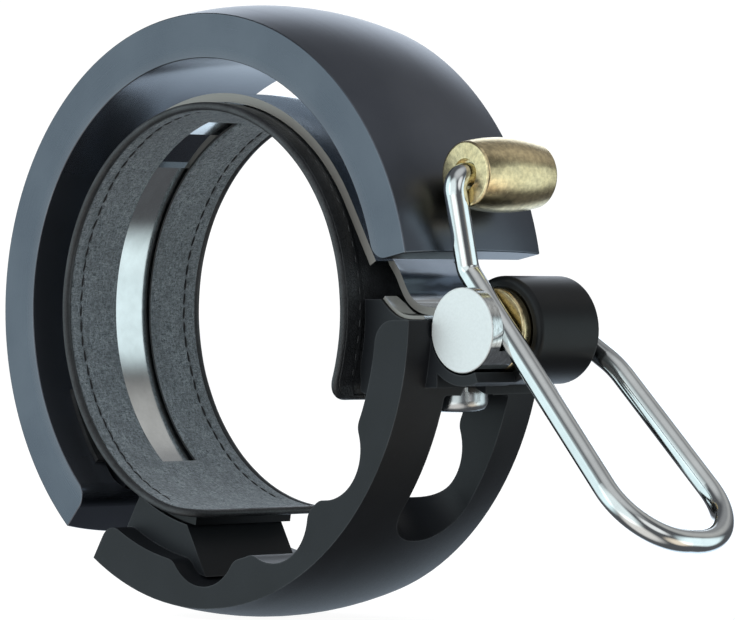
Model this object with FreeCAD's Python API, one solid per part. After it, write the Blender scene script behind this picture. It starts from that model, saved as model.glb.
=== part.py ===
import FreeCAD, Part
import math
import os

# Ring-shaped bicycle bell that clamps round a handlebar.
# Millimetres. The origin is the centre of the handlebar bore, +Y runs along the
# handlebar away from the front face, +X points to the striker, +Z is up.
# Angles are degrees in the XZ plane, from +X towards +Z.

# ---- driving dimensions ----
BAR_R = 15.9                      # handlebar clamp zone, 31.8 mm across
WIDTH = 14.9                      # bell and base, along the handlebar
RING_EDGE_R = 23.6                # outer radius at the flat front and back faces
RING_BULGE = 0.9                  # how far the outer surface swells at mid width
RING_INNER_R = 20.05
HALF = WIDTH / 2

# bell ring
RING_START, RING_END = 10.8, 228.1
RING_CORNER_R = 1.45
RING_EDGE_FILLET = 0.12
WINDOW_START, WINDOW_END = 200.0, 226.2
WINDOW_HALF = 3.45
WINDOW_CORNER_R = 1.2
WINDOW_MARGIN = 3.0               # the window's cutter reaches this far past the ring

# how the bell ring is held: a screw through a rubber block in the window
RING_SCREW_ANGLE = 210.5
ISOLATOR_R = (19.65, 22.9)
ISOLATOR_END = 218.2
ISOLATOR_FLANGE_START, ISOLATOR_FLANGE_HALF = 199.0, 4.4
ISOLATOR_GAP = 0.03
SLEEVE_R, SLEEVE_BORE_R = 1.5, 1.03
SLEEVE_SPAN = (19.62, 22.6)       # distances from the bar's centre, along the screw
RING_SCREW_R, RING_SCREW_HOLE_R = 0.88, 0.9
RING_SCREW_SPAN = (17.7, 22.7)
RING_SCREW_NECK_R = 0.98
RING_SCREW_HEAD_R, RING_SCREW_HEAD_SPAN = 1.9, (22.95, 24.0)
RING_SCREW_SOCKET_R, RING_SCREW_SOCKET_DEPTH = 0.75, 0.7

# mount base
BASE_START, BASE_END = -122.1, -2.0
SCALLOP_ANGLES = (-88.5, -61.6, -36.5)
SCALLOP_R = 4.0
SCALLOP_DEPTH_R = 21.85
SCALLOP_LIP_R = 1.3
SLOT_CORNERS = (3.4, 0.3)
SLOT_START, SLOT_END = -47.0, -15.4
SLOT_Y = (-3.4, 3.7)
BASE_TOP_Z, BASE_TOP_R = -0.7, 1.9
BLOCK_R, BLOCK_HALF = 16.7, 5.3   # inner block that fills up to the liner, beside the screw
BLOCK_X0, BLOCK_END = 16.2, -21.0
BLOCK_GAP = 0.04                  # between the block and the saddle on it
SHELF_X, SHELF_Y1 = (19.6, 24.6), 4.6
SEAT_X, SEAT_EXTRA_R = (18.0, 25.7), 1.0

# pedestal under the band, moulded on the base
PEDESTAL_Y = (-5.5, 4.9)
PEDESTAL_TOP_R = 17.45
PEDESTAL_LEFT_ANGLE = 238.7
PEDESTAL_RIGHT = (-4.15, -15.83)  # a point of its leaning right side
PEDESTAL_LEAN = math.radians(28.5)
PEDESTAL_TOE = (-4.6, -20.3)
PEDESTAL_ROOT_Z = -21.2
ARM_HALF = 2.6                    # tongue from the pedestal into the bell's window
ARM_R, ARM_SPAN = (18.0, 19.6), (202.0, 241.0)
ARM_BLOCK_R, ARM_BLOCK_SPAN = 22.6, (218.6, 225.4)

# liner and clamp band
LINER_THICK = 0.35
COVER_THICK = 0.30
LINER_GAP = 0.02
LINER_START, LINER_END = -25.0, 266.0
LINER_Y = (-7.45, 7.45)
LINER_CORNER_R, LINER_END_CORNER_R = 1.7, 2.9
LINER_SLOT_Y = (-2.1, 2.1)
LINER_SLOT = (107.0, 230.0)
BAND_R, BAND_THICK = 16.62, 0.72
TAB_THICK = 0.6
BAND_HALF = 5.22
BAND_START, BAND_END = 30.0, 261.0
BAND_STRAIGHT = 5.55              # the band leaves the bar on a tangent, this far
BAND_WINDOW = (120.0, 135.0)
BAND_WINDOW_HALF = 2.7
TAB_HALF = 3.28
TAB_LINE = [(18.48, 3.05), (19.02, 2.08), (19.68, 1.14), (20.55, 0.55), (21.4, 0.32), (22.75, 0.27)]
SADDLE_HALF = 5.05
SADDLE_THICK = 0.28
# underside of the saddle, and the top of the base's block below it
SADDLE_LINE = [(18.42, 0.95), (18.9, 0.5), (19.45, 0.06), (20.1, -0.32), (20.9, -0.56), (21.8, -0.63)]
SADDLE_LINE += [(22.9, -0.64)]
RIVET_ANGLES, RIVET_Y = (242.5, 250.5), (-3.2, 3.2)
RIVET_R, RIVET_HOLE_R, RIVET_LENGTH = 0.6, 0.62, 1.3

# clamp screw, vertical, behind the pivot
SCREW_X, SCREW_Y = 21.6, 0.0
SCREW_R = 0.98
SCREW_HEAD_R, SCREW_HEAD_H = 2.35, 1.55
SHELF_Z = -5.85
SCREW_HEAD_DOME = 0.85
SOCKET_R, SOCKET_DEPTH = 0.87, 0.9
WASHER_R, WASHER_THICK = 2.2, 0.35
SEAT_GAP = 0.02
NUT_R, NUT_Z = 1.35, (-1.5, 0.5)

# striker pivot, parallel to the handlebar
PIVOT_X, PIVOT_Z = 27.3, -1.46
HUB_R = 3.26
HUB_Y = (-5.5, -2.24)
HUB_HEAD = 1.1                    # solid disc in front of the wire's slot
SHAFT_R = 1.2
RUNNING = 0.05                    # radial clearance of the shaft in its bushes
HOUSING_R = 4.16
HOUSING_Y = (-1.21, 5.54)
HOUSING_WALL = 0.9
HOUSING_FRONT_WALL = 1.2
HOUSING_EDGE_R = 0.45
HOUSING_SCREW_Y, HOUSING_SCREW_Z = 3.6, -2.9
HOUSING_SCREW_R, HOUSING_SCREW_HEAD_R = 0.58, 1.05
HOUSING_SCREW_X = (18.95, 19.55, 24.0)   # head face, seat and tip
BUSH_R, BUSH_FLANGE, BUSH_NECK_R = 3.26, 1.2, 2.0
BUSH_RECESS_R, BUSH_RECESS = 3.4, 0.25
CAP_THICK, CAP_INSET, REAR_BUSH_R = 1.1, 0.12, 1.8
CLIP_R, CLIP_THICK, CLIP_INSET, CLIP_SLOT = 1.95, 0.4, 2.0, 0.7
LUG_R = 4.25
LUG_Y0 = -5.4
LUG_CLEAR = 0.16
LUG_END_ANGLE = -68.0
SPRING_WIRE_R, SPRING_COIL_R = 0.3, 2.05
SPRING_TURNS, SPRING_GAP = 5, 0.12
SPRING_INSET = 0.4

# striker lever, bent from one wire
WIRE_R = 0.89
LEG_ANGLE = math.radians(-44.9)
LEG_OFFSET = 1.30                 # the wire's plane stands this far above the pivot
LEG_FRONT_Y, LEG_REAR_Y = -3.26, 6.58
LEG_FRONT_SPLAY, LEG_REAR_SPLAY = -0.060, 0.027
LOOP_REACH, LOOP_SKEW = 23.4, 0.12
LOOP_BEND_R = 5.2
KNEE_BEND_R, WIRE_END_BEND_R = 8.0, 0.95
STEM_BEND_U, STEM_BEND_Y = -4.4, -3.1   # where the stem meets the front leg, along the leg
STEM_BEND_RISE = 0.75             # that corner stands this far above the loop's plane
STEM_BEND_R = 1.2
HAMMER_X, HAMMER_Z = 25.78, 10.42
HAMMER_Y = (-3.6, 4.1)
HAMMER_END_R, HAMMER_MID_R = 2.5, 2.9
HAMMER_HOLE_R, HAMMER_MOUTH_R = 0.92, 1.22
HAMMER_HOLE_STOP, HAMMER_MOUTH_DEPTH = 0.7, 0.45
HAMMER_EDGE_R = 0.25
STEM_TOP_Y = -4.93
STEM_TOP_R = 1.15
REAR_KNEE_U = 5.2                 # where the rear leg turns in towards the shaft
REAR_AXIS_Y = 6.62
WIRE_SEAT = 0.8                   # depth of the wire's end in the hollow shaft

AXIS_Y = FreeCAD.Vector(0, 1, 0)
CCW = FreeCAD.Vector(0, -1, 0)    # turning about this takes +X to +Z
REACH = 60.0                      # longer than anything it cuts


def vec(x, y, z):
    return FreeCAD.Vector(x, y, z)


def polar(radius, degrees, y=0.0):
    a = math.radians(degrees)
    return vec(radius * math.cos(a), y, radius * math.sin(a))


def save(node, shape):
    shape = shape.removeSplitter()
    if not shape.isValid() or not shape.Solids:
        raise ValueError(node + " is not a valid solid")
    shape.exportStep("parts/" + node + ".step")
    print(node, len(shape.Solids), "solid(s)", round(shape.Volume, 1), "mm3")


def box(x0, x1, y0, y1, z0, z1):
    return Part.makeBox(x1 - x0, y1 - y0, z1 - z0, vec(x0, y0, z0))


def rod_y(radius, x, z, y0, y1):
    return Part.makeCylinder(radius, y1 - y0, vec(x, y0, z), AXIS_Y)


def pivot_rod(radius, y0, y1):
    return rod_y(radius, PIVOT_X, PIVOT_Z, y0, y1)


def prism_y(points, y0, y1):
    """A polygon in the XZ plane, extruded along Y."""
    wire = Part.makePolygon([vec(x, y0, z) for x, z in points + points[:1]])
    return Part.Face(wire).extrude(vec(0, y1 - y0, 0))


def arc_band(r0, r1, a0, a1, y0, y1):
    """A rectangular section turned from angle a0 to a1."""
    corners = [vec(r0, y0, 0), vec(r1, y0, 0), vec(r1, y1, 0), vec(r0, y1, 0)]
    face = Part.Face(Part.makePolygon(corners + corners[:1]))
    face.rotate(vec(0, 0, 0), CCW, a0)
    return face.revolve(vec(0, 0, 0), CCW, a1 - a0)


def barrel_sector(a0, a1):
    """The bell's section: flat faces and bore, with a swelling outer side."""
    crown = vec(RING_EDGE_R + RING_BULGE, 0, 0)
    outer = Part.Arc(vec(RING_EDGE_R, -HALF, 0), crown, vec(RING_EDGE_R, HALF, 0))
    edges = [
        Part.makeLine(vec(RING_INNER_R, -HALF, 0), vec(RING_EDGE_R, -HALF, 0)),
        outer.toShape(),
        Part.makeLine(vec(RING_EDGE_R, HALF, 0), vec(RING_INNER_R, HALF, 0)),
        Part.makeLine(vec(RING_INNER_R, HALF, 0), vec(RING_INNER_R, -HALF, 0)),
    ]
    face = Part.Face(Part.Wire(edges))
    face.rotate(vec(0, 0, 0), CCW, a0)
    return face.revolve(vec(0, 0, 0), CCW, a1 - a0)


def edges_near(shape, points, tolerance=0.05):
    """Edges whose mid point lies on one of the given points."""
    found = []
    for edge in shape.Edges:
        middle = edge.valueAt((edge.FirstParameter + edge.LastParameter) / 2)
        if any(middle.distanceToPoint(p) < tolerance for p in points):
            found.append(edge)
    return found


def radial_edges(shape, angle, tolerance=1.0):
    """Straight edges that point at the axis, at the given angle."""
    found = []
    for edge in shape.Edges:
        if edge.Curve.TypeId != "Part::GeomLine" or len(edge.Vertexes) < 2:
            continue
        a, b = edge.Vertexes[0].Point, edge.Vertexes[1].Point
        if abs(a.y - b.y) > 1e-6:
            continue
        at = math.degrees(math.atan2(a.z, a.x))
        if abs((at - angle + 180) % 360 - 180) < tolerance:
            found.append(edge)
    return found


def rounded_window(a0, a1, y0, y1, radius0, radius1):
    """Cutter for a window through the ring, its corners rounded at each end."""
    cutter = arc_band(RING_INNER_R - WINDOW_MARGIN, RING_EDGE_R + WINDOW_MARGIN, a0, a1, y0, y1)
    cutter = cutter.makeFillet(radius0, radial_edges(cutter, a0))
    return cutter.makeFillet(radius1, radial_edges(cutter, a1))


# ---- bell ring ----
def make_bell_ring():
    ring = barrel_sector(RING_START, RING_END)
    inner_corners = [polar(RING_INNER_R, RING_START), polar(RING_INNER_R, RING_END)]
    ring = ring.makeFillet(RING_CORNER_R, edges_near(ring, inner_corners))
    corners = (WINDOW_CORNER_R, WINDOW_CORNER_R)
    window = rounded_window(WINDOW_START, WINDOW_END, -WINDOW_HALF, WINDOW_HALF, *corners)
    ring = ring.makeFillet(RING_EDGE_FILLET, ring.Edges)
    return ring.cut(window)


# ---- mount base ----
def scalloped_bore():
    """Bore of the base with three cable scallops, their lips rounded."""
    bore = rod_y(RING_INNER_R, 0, 0, -HALF - 1, HALF + 1)
    for angle in SCALLOP_ANGLES:
        centre = polar(SCALLOP_DEPTH_R - SCALLOP_R, angle)
        bore = bore.fuse(rod_y(SCALLOP_R, centre.x, centre.z, -HALF - 1, HALF + 1))
    bore = bore.removeSplitter()
    lips = []
    for edge in bore.Edges:
        point = edge.Vertexes[0].Point
        on_bore = abs(math.hypot(point.x, point.z) - RING_INNER_R) < 0.01
        to_scallop = min(point.distanceToPoint(polar(RING_INNER_R, a, point.y)) for a in SCALLOP_ANGLES)
        if edge.Curve.TypeId == "Part::GeomLine" and on_bore and to_scallop < SCALLOP_R:
            lips.append(edge)
    return bore.makeFillet(SCALLOP_LIP_R, lips)


def pedestal():
    """Block that carries the band's fixed end, leaning over to the right."""
    def right_side(z):
        return PEDESTAL_RIGHT[0] + (PEDESTAL_RIGHT[1] - z) * math.tan(PEDESTAL_LEAN), z

    left_top = polar(PEDESTAL_TOP_R - 1, PEDESTAL_LEFT_ANGLE)
    left_foot = polar(RING_INNER_R + 0.6, PEDESTAL_LEFT_ANGLE)
    outline = [
        (left_top.x, left_top.z),
        (left_foot.x, left_foot.z),
        PEDESTAL_TOE,
        right_side(PEDESTAL_ROOT_Z),
        right_side(PEDESTAL_RIGHT[1] + 1),
    ]
    block = prism_y(outline, *PEDESTAL_Y)
    return block.cut(rod_y(PEDESTAL_TOP_R, 0, 0, -HALF, HALF))


def ring_arm():
    """Tongue that reaches from the pedestal into the bell's window."""
    arm = arc_band(*ARM_R, *ARM_SPAN, -ARM_HALF, ARM_HALF)
    block = arc_band(ARM_R[0], ARM_BLOCK_R, *ARM_BLOCK_SPAN, -ARM_HALF, ARM_HALF)
    return arm.fuse(block)


def base_boss():
    """Lug under the hub, and the seat of the spring housing."""
    lug = pivot_rod(LUG_R, LUG_Y0, HOUSING_Y[0])
    end = math.radians(LUG_END_ANGLE)
    far = (PIVOT_X + REACH * math.cos(end), PIVOT_Z + REACH * math.sin(end))
    keep = [(PIVOT_X, PIVOT_Z), far, (-REACH, -REACH), (-REACH, PIVOT_Z + 0.2), (PIVOT_X, PIVOT_Z + 0.2)]
    lug = lug.common(prism_y(keep, LUG_Y0, HOUSING_Y[0]))
    seat = pivot_rod(HOUSING_R + SEAT_EXTRA_R, HOUSING_Y[0], HOUSING_Y[1] + 0.4)
    seat = seat.common(box(*SEAT_X, -HALF, HALF, -9, BASE_TOP_Z - 0.05))
    shelf = box(*SHELF_X, LUG_Y0, SHELF_Y1, SHELF_Z, BASE_TOP_Z - 0.05)
    return lug.fuse([seat, shelf])


def inner_block():
    """Fills the gap between the liner and the base, and carries the saddle."""
    top = [(x, z - BLOCK_GAP) for x, z in SADDLE_LINE]
    foot = polar(RING_INNER_R + 0.8, BLOCK_END)
    toe = polar(BLOCK_R - 1, BLOCK_END)
    spline = Part.BSplineCurve()
    spline.interpolate([vec(x, -BLOCK_HALF, z) for x, z in top])
    rest = [top[-1], (foot.x, foot.z), (toe.x, toe.z), (BLOCK_R - 1, top[0][1]), top[0]]
    corners = [vec(x, -BLOCK_HALF, z) for x, z in rest]
    edges = [Part.makeLine(a, b) for a, b in zip(corners, corners[1:])]
    block = Part.Face(Part.Wire([spline.toShape()] + edges)).extrude(vec(0, 2 * BLOCK_HALF, 0))
    block = block.common(box(BLOCK_X0, 30, -HALF, HALF, -20, 5))
    return block.cut(rod_y(BLOCK_R, 0, 0, -HALF, HALF))


def make_mount_base():
    base = barrel_sector(BASE_START, BASE_END + 4)
    base = base.cut(scalloped_bore())
    base = base.cut(rounded_window(SLOT_START, SLOT_END, *SLOT_Y, *SLOT_CORNERS))
    base = base.cut(box(15, 30, -9, 9, BASE_TOP_Z, 4))
    corner = [e for e in base.Edges if e.Length > WIDTH - 0.01 and abs(e.CenterOfMass.z - BASE_TOP_Z) < 0.01
              and e.CenterOfMass.x < RING_INNER_R + 0.5]
    base = base.makeFillet(BASE_TOP_R, corner)
    horn = edges_near(base, [polar(RING_INNER_R, BASE_START)])
    base = base.makeFillet(RING_CORNER_R, horn)
    base = base.fuse([base_boss(), inner_block(), pedestal(), ring_arm()])
    base = base.cut(pivot_rod(HUB_R + LUG_CLEAR, -HALF - 2, HOUSING_Y[0]))
    base = base.cut(pivot_rod(HOUSING_R + 0.02, HOUSING_Y[0], HALF + 2))
    base = base.cut(screw_rod(SCREW_R + 0.15, SHELF_Z - 1, 2.0))
    base = base.cut(screw_rod(NUT_R + 0.05, -1.7, 2.0))
    base = base.cut(screw_rod(SCREW_HEAD_R + 0.3, -9.0, SHELF_Z))
    base = base.cut(rivet_holes())
    base = base.cut(along_ring_screw(RING_SCREW_HOLE_R, 17.5, 20.5))
    base = base.cut(housing_screw_rod(HOUSING_SCREW_R + 0.04, 17.0, 25.0))
    base = base.cut(housing_screw_rod(HOUSING_SCREW_HEAD_R + 0.07, 15.0, HOUSING_SCREW_X[1] + 0.02))
    return base


# ---- how the bell ring is held: rubber block, spacer and screw in the window ----
def along_ring_screw(radius, r0, r1):
    return Part.makeCylinder(radius, r1 - r0, polar(r0, RING_SCREW_ANGLE), polar(1, RING_SCREW_ANGLE))


def make_ring_isolator():
    half, start = WINDOW_HALF - ISOLATOR_GAP, WINDOW_START + 0.05
    plug = arc_band(*ISOLATOR_R, start, ISOLATOR_END, -half, half)
    plug = plug.makeFillet(WINDOW_CORNER_R, radial_edges(plug, start))
    flange = arc_band(ISOLATOR_R[0], RING_INNER_R - 0.02, ISOLATOR_FLANGE_START, ISOLATOR_END,
                      -ISOLATOR_FLANGE_HALF, ISOLATOR_FLANGE_HALF)
    return plug.fuse(flange).cut(along_ring_screw(SLEEVE_R + 0.02, 19.0, 23.5))


def make_isolator_sleeve():
    return along_ring_screw(SLEEVE_R, *SLEEVE_SPAN).cut(along_ring_screw(SLEEVE_BORE_R, 19.0, 23.0))


def make_ring_screw():
    head_start, head_end = RING_SCREW_HEAD_SPAN
    shank = along_ring_screw(RING_SCREW_R, *RING_SCREW_SPAN)
    head = along_ring_screw(RING_SCREW_HEAD_R, head_start, head_end)
    neck = along_ring_screw(RING_SCREW_NECK_R, 22.0, head_start + 0.05)
    socket = along_ring_screw(RING_SCREW_SOCKET_R, head_end - RING_SCREW_SOCKET_DEPTH, head_end + 1)
    return shank.fuse([neck, head]).cut(socket)


# ---- clamp band, saddle and liner ----
def offset_line(points, distance):
    """Points moved sideways, to the right of the way they run."""
    moved = []
    for i, (x, z) in enumerate(points):
        x0, z0 = points[max(i - 1, 0)]
        x1, z1 = points[min(i + 1, len(points) - 1)]
        length = math.hypot(x1 - x0, z1 - z0)
        moved.append((x + (z1 - z0) / length * distance, z - (x1 - x0) / length * distance))
    return moved


def curved_strip(upper, lower, y0, y1):
    """A bent sheet between two smooth lines in the XZ plane."""
    def curve(points):
        spline = Part.BSplineCurve()
        spline.interpolate([vec(x, y0, z) for x, z in points])
        return spline.toShape()

    first = Part.makeLine(vec(upper[-1][0], y0, upper[-1][1]), vec(lower[-1][0], y0, lower[-1][1]))
    last = Part.makeLine(vec(lower[0][0], y0, lower[0][1]), vec(upper[0][0], y0, upper[0][1]))
    wire = Part.Wire([curve(upper), first, curve(lower[::-1]), last])
    return Part.Face(wire).extrude(vec(0, y1 - y0, 0))


def make_clamp_band():
    band = arc_band(BAND_R, BAND_R + BAND_THICK, BAND_START, BAND_END, -BAND_HALF, BAND_HALF)
    window = arc_band(BAND_R - 1, BAND_R + 2, *BAND_WINDOW, -BAND_WINDOW_HALF, BAND_WINDOW_HALF)
    band = band.cut(window)
    band = band.fuse(band_tangent(BAND_STRAIGHT))
    tab = [tangent_point(BAND_STRAIGHT - back) for back in (0.9, 0.3)] + TAB_LINE
    band = band.fuse(curved_strip(tab, offset_line(tab, TAB_THICK), -TAB_HALF, TAB_HALF))
    return band.cut(screw_rod(NUT_R + 0.02, -2.0, 2.0)).cut(rivet_holes())


def tangent_point(distance, inset=0.0):
    """(x, z) on the band's straight end, from where it leaves its circle."""
    a = math.radians(BAND_START)
    radius = BAND_R + BAND_THICK - inset
    return radius * math.cos(a) + distance * math.sin(a), radius * math.sin(a) - distance * math.cos(a)


def band_tangent(length):
    corners = [tangent_point(0.0), tangent_point(length)]
    corners += [tangent_point(length, BAND_THICK), tangent_point(0.0, BAND_THICK)]
    return prism_y(corners, -BAND_HALF, BAND_HALF)


def rivet_places():
    return [(angle, y) for angle in RIVET_ANGLES for y in RIVET_Y]


def rivet_holes():
    holes = [rivet_rod(angle, y, RIVET_HOLE_R, BAND_R - 1.6, BAND_R + 2.4) for angle, y in rivet_places()]
    return holes[0].fuse(holes[1:])


def rivet_rod(angle, y, radius, r0, r1):
    return Part.makeCylinder(radius, r1 - r0, polar(r0, angle, y), polar(1, angle))


def make_band_rivets():
    rivets = []
    for angle, y in rivet_places():
        rivets.append(rivet_rod(angle, y, RIVET_R, BAND_R + 0.02, BAND_R + RIVET_LENGTH))
    return Part.makeCompound(rivets)


def make_saddle_plate():
    upper = offset_line(SADDLE_LINE, -SADDLE_THICK)
    plate = curved_strip(upper, SADDLE_LINE, -SADDLE_HALF, SADDLE_HALF)
    return plate.cut(screw_rod(NUT_R + 0.1, -2.5, 1.5))


def sleeve(r0, r1, a0, a1):
    """A layer of the liner, with rounded corners and the long slot."""
    layer = arc_band(r0, r1, a0, a1, *LINER_Y)
    end_front = [e for e in radial_edges(layer, a1) if e.CenterOfMass.y < 0]
    layer = layer.makeFillet(LINER_END_CORNER_R, end_front)
    others = [e for e in radial_edges(layer, a1) if e.CenterOfMass.y > 0] + radial_edges(layer, a0)
    layer = layer.makeFillet(LINER_CORNER_R, others)
    return layer.cut(arc_band(r0 - 1, r1 + 1, *LINER_SLOT, *LINER_SLOT_Y))


def make_felt_liner():
    return sleeve(BAR_R, BAR_R + LINER_THICK, LINER_START, LINER_END)


def make_liner_cover():
    inner = BAR_R + LINER_THICK + LINER_GAP
    return sleeve(inner, inner + COVER_THICK, LINER_START, LINER_END)


# ---- clamp screw ----
def screw_rod(radius, z0, z1):
    return Part.makeCylinder(radius, z1 - z0, vec(SCREW_X, SCREW_Y, z0))


def make_clamp_screw():
    z_seat = SHELF_Z - WASHER_THICK - 2 * SEAT_GAP
    z_face = z_seat - SCREW_HEAD_H
    shank = screw_rod(SCREW_R - 0.03, z_seat - 0.1, 0.6)
    head = screw_rod(SCREW_HEAD_R, z_face, z_seat)
    rim = [e for e in head.Edges if abs(e.CenterOfMass.z - z_face) < 0.01 and e.Closed]
    head = head.makeFillet(SCREW_HEAD_DOME, rim)
    corners = [polar(SOCKET_R, 60.0 * k) for k in range(6)]
    corners = [vec(SCREW_X + p.x, SCREW_Y + p.z, z_face - 0.1) for p in corners]
    socket = Part.Face(Part.makePolygon(corners + corners[:1])).extrude(vec(0, 0, SOCKET_DEPTH + 0.1))
    return head.fuse(shank).cut(socket)


def make_screw_washer():
    z0 = SHELF_Z - SEAT_GAP - WASHER_THICK
    return screw_rod(WASHER_R, z0, z0 + WASHER_THICK).cut(screw_rod(SCREW_R + 0.05, z0 - 1, z0 + 1))


def make_clamp_nut():
    return screw_rod(NUT_R, *NUT_Z).cut(screw_rod(SCREW_R, -3.0, 3.0))


# ---- pivot ----
def make_spring_housing():
    body = pivot_rod(HOUSING_R, HOUSING_Y[0], HOUSING_Y[1])
    rims = [e for e in body.Edges if e.Closed]
    body = body.makeFillet(HOUSING_EDGE_R, rims)
    cavity = pivot_rod(HOUSING_R - HOUSING_WALL, HOUSING_Y[0] + HOUSING_FRONT_WALL, HOUSING_Y[1] + 1)
    bush_hole = pivot_rod(BUSH_NECK_R + 0.01, HOUSING_Y[0] - 1, HOUSING_Y[1])
    recess = pivot_rod(BUSH_RECESS_R, HOUSING_Y[0] - 1, HOUSING_Y[0] + BUSH_RECESS)
    screw_hole = housing_screw_rod(HOUSING_SCREW_R + 0.02, 20.0, 25.0)
    return body.cut(cavity).cut(bush_hole).cut(recess).cut(screw_hole)


def make_housing_cap():
    y1 = HOUSING_Y[1] - CAP_INSET
    cap = pivot_rod(HOUSING_R - HOUSING_WALL - 0.01, y1 - CAP_THICK, y1)
    return cap.cut(pivot_rod(REAR_BUSH_R + 0.01, y1 - 2, y1 + 1))


def make_front_bush():
    y0 = HOUSING_Y[0] + BUSH_RECESS - BUSH_FLANGE
    flange = pivot_rod(BUSH_R, y0, y0 + BUSH_FLANGE)
    rim = [e for e in flange.Edges if e.Closed and abs(e.CenterOfMass.y - y0) < 0.01]
    flange = flange.makeFillet(0.2, rim)
    neck = pivot_rod(BUSH_NECK_R, y0 + BUSH_FLANGE - 0.1, HOUSING_Y[0] + HOUSING_FRONT_WALL + 0.1)
    return flange.fuse(neck).cut(pivot_rod(SHAFT_R + RUNNING, -HALF, HALF))


def make_rear_bush():
    y1 = HOUSING_Y[1] - CAP_INSET
    return pivot_rod(REAR_BUSH_R, y1 - CAP_THICK, y1).cut(pivot_rod(SHAFT_R + RUNNING, -HALF, HALF))


def make_pivot_shaft():
    rear = HOUSING_Y[1] + 0.1
    shaft = pivot_rod(SHAFT_R, HUB_Y[1] - 0.1, rear)
    return shaft.cut(pivot_rod(WIRE_R + 0.01, rear - WIRE_SEAT, rear + 1))


def leg_point(u, y, rise=0.0):
    """A point of the wire's loop plane or above it, u along it from the pivot."""
    c, s = math.cos(LEG_ANGLE), math.sin(LEG_ANGLE)
    offset = LEG_OFFSET + rise
    return vec(PIVOT_X + u * c - offset * s, y, PIVOT_Z + u * s + offset * c)


def make_pivot_hub():
    hub = pivot_rod(HUB_R, HUB_Y[0], HUB_Y[1])
    rim = [e for e in hub.Edges if e.Closed and abs(e.CenterOfMass.y - HUB_Y[0]) < 0.01]
    hub = hub.makeFillet(0.12, rim)
    foot, corner = lever_route()[0][2:4]
    slot = Part.makeBox(2 * REACH, HUB_Y[1] - HUB_Y[0], REACH, vec(-REACH, HUB_Y[0] + HUB_HEAD, -WIRE_R - 0.05))
    slot.rotate(vec(0, 0, 0), CCW, math.degrees(math.atan2(corner.z - foot.z, corner.x - foot.x)))
    slot.translate(vec(foot.x, 0, foot.z))
    hub = hub.cut(slot)
    return hub.cut(make_pivot_shaft())


def make_torsion_spring():
    pitch = 2 * SPRING_WIRE_R + SPRING_GAP
    y0 = HOUSING_Y[0] + HOUSING_FRONT_WALL + SPRING_INSET
    helix = Part.makeHelix(pitch, pitch * SPRING_TURNS, SPRING_COIL_R)
    section = Part.Wire(Part.makeCircle(SPRING_WIRE_R, vec(SPRING_COIL_R, 0, 0), AXIS_Y))
    coil = Part.Wire(helix).makePipeShell([section], True, True)
    coil.rotate(vec(0, 0, 0), vec(1, 0, 0), -90)
    coil.translate(vec(PIVOT_X, y0, PIVOT_Z))
    return coil


def make_shaft_clip():
    y0 = HOUSING_Y[1] - CLIP_INSET
    clip = pivot_rod(CLIP_R, y0, y0 + CLIP_THICK).cut(pivot_rod(SHAFT_R + 0.01, y0 - 1, y0 + 1))
    return clip.cut(box(PIVOT_X - CLIP_SLOT, PIVOT_X + CLIP_SLOT, y0 - 1, y0 + 1, PIVOT_Z - 4, PIVOT_Z))


def housing_screw_rod(radius, x0, x1):
    return Part.makeCylinder(radius, x1 - x0, vec(x0, HOUSING_SCREW_Y, HOUSING_SCREW_Z), vec(1, 0, 0))


def make_housing_screw():
    face, seat, tip = HOUSING_SCREW_X
    shank = housing_screw_rod(HOUSING_SCREW_R, seat - 0.25, tip)
    return shank.fuse(housing_screw_rod(HOUSING_SCREW_HEAD_R, face, seat))


# ---- striker lever ----
def rounded_path(points, radii):
    """Straight runs joined by tangent arcs, one radius for each inner point."""
    edges = []
    start = points[0]
    for before, corner, after, radius in zip(points, points[1:], points[2:], radii):
        back = (before - corner).normalize()
        on = (after - corner).normalize()
        half = back.getAngle(on) / 2
        setback = radius / math.tan(half)
        bisector = (back + on).normalize()
        centre = corner + bisector * (radius / math.sin(half))
        a, b = corner + back * setback, corner + on * setback
        middle = centre + (corner - centre).normalize() * radius
        edges.append(Part.makeLine(start, a))
        edges.append(Part.Arc(a, middle, b).toShape())
        start = b
    edges.append(Part.makeLine(start, points[-1]))
    return Part.Wire(edges)


def lever_route():
    """Corner points of the bent wire, from inside the hammer to the shaft's rear end."""
    def front(u):
        return leg_point(u, LEG_FRONT_Y + LEG_FRONT_SPLAY * u)

    def rear(u):
        return leg_point(u, LEG_REAR_Y + LEG_REAR_SPLAY * u)

    u_front = LOOP_REACH + LOOP_SKEW * (LEG_FRONT_Y - LEG_REAR_Y) / 2
    u_rear = LOOP_REACH - LOOP_SKEW * (LEG_FRONT_Y - LEG_REAR_Y) / 2
    points = [
        vec(HAMMER_X, HAMMER_Y[1] - 0.8, HAMMER_Z),
        vec(HAMMER_X, STEM_TOP_Y, HAMMER_Z),
        leg_point(STEM_BEND_U, STEM_BEND_Y, STEM_BEND_RISE),
        front(u_front),
        rear(u_rear),
        rear(REAR_KNEE_U),
        vec(PIVOT_X, REAR_AXIS_Y, PIVOT_Z),
        vec(PIVOT_X, HOUSING_Y[1] + 0.15 - WIRE_SEAT, PIVOT_Z),
    ]
    radii = [STEM_TOP_R, STEM_BEND_R, LOOP_BEND_R, LOOP_BEND_R, KNEE_BEND_R, WIRE_END_BEND_R]
    return points, radii


def make_lever_wire():
    points, radii = lever_route()
    path = rounded_path(points, radii)
    first = (points[1] - points[0]).normalize()
    section = Part.Wire(Part.makeCircle(WIRE_R, points[0], first))
    wire = path.makePipeShell([section], True, False)
    expected = path.Length * math.pi * WIRE_R ** 2
    print("lever wire length", round(path.Length, 1), "volume ratio", round(wire.Volume / expected, 3))
    return wire


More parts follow.
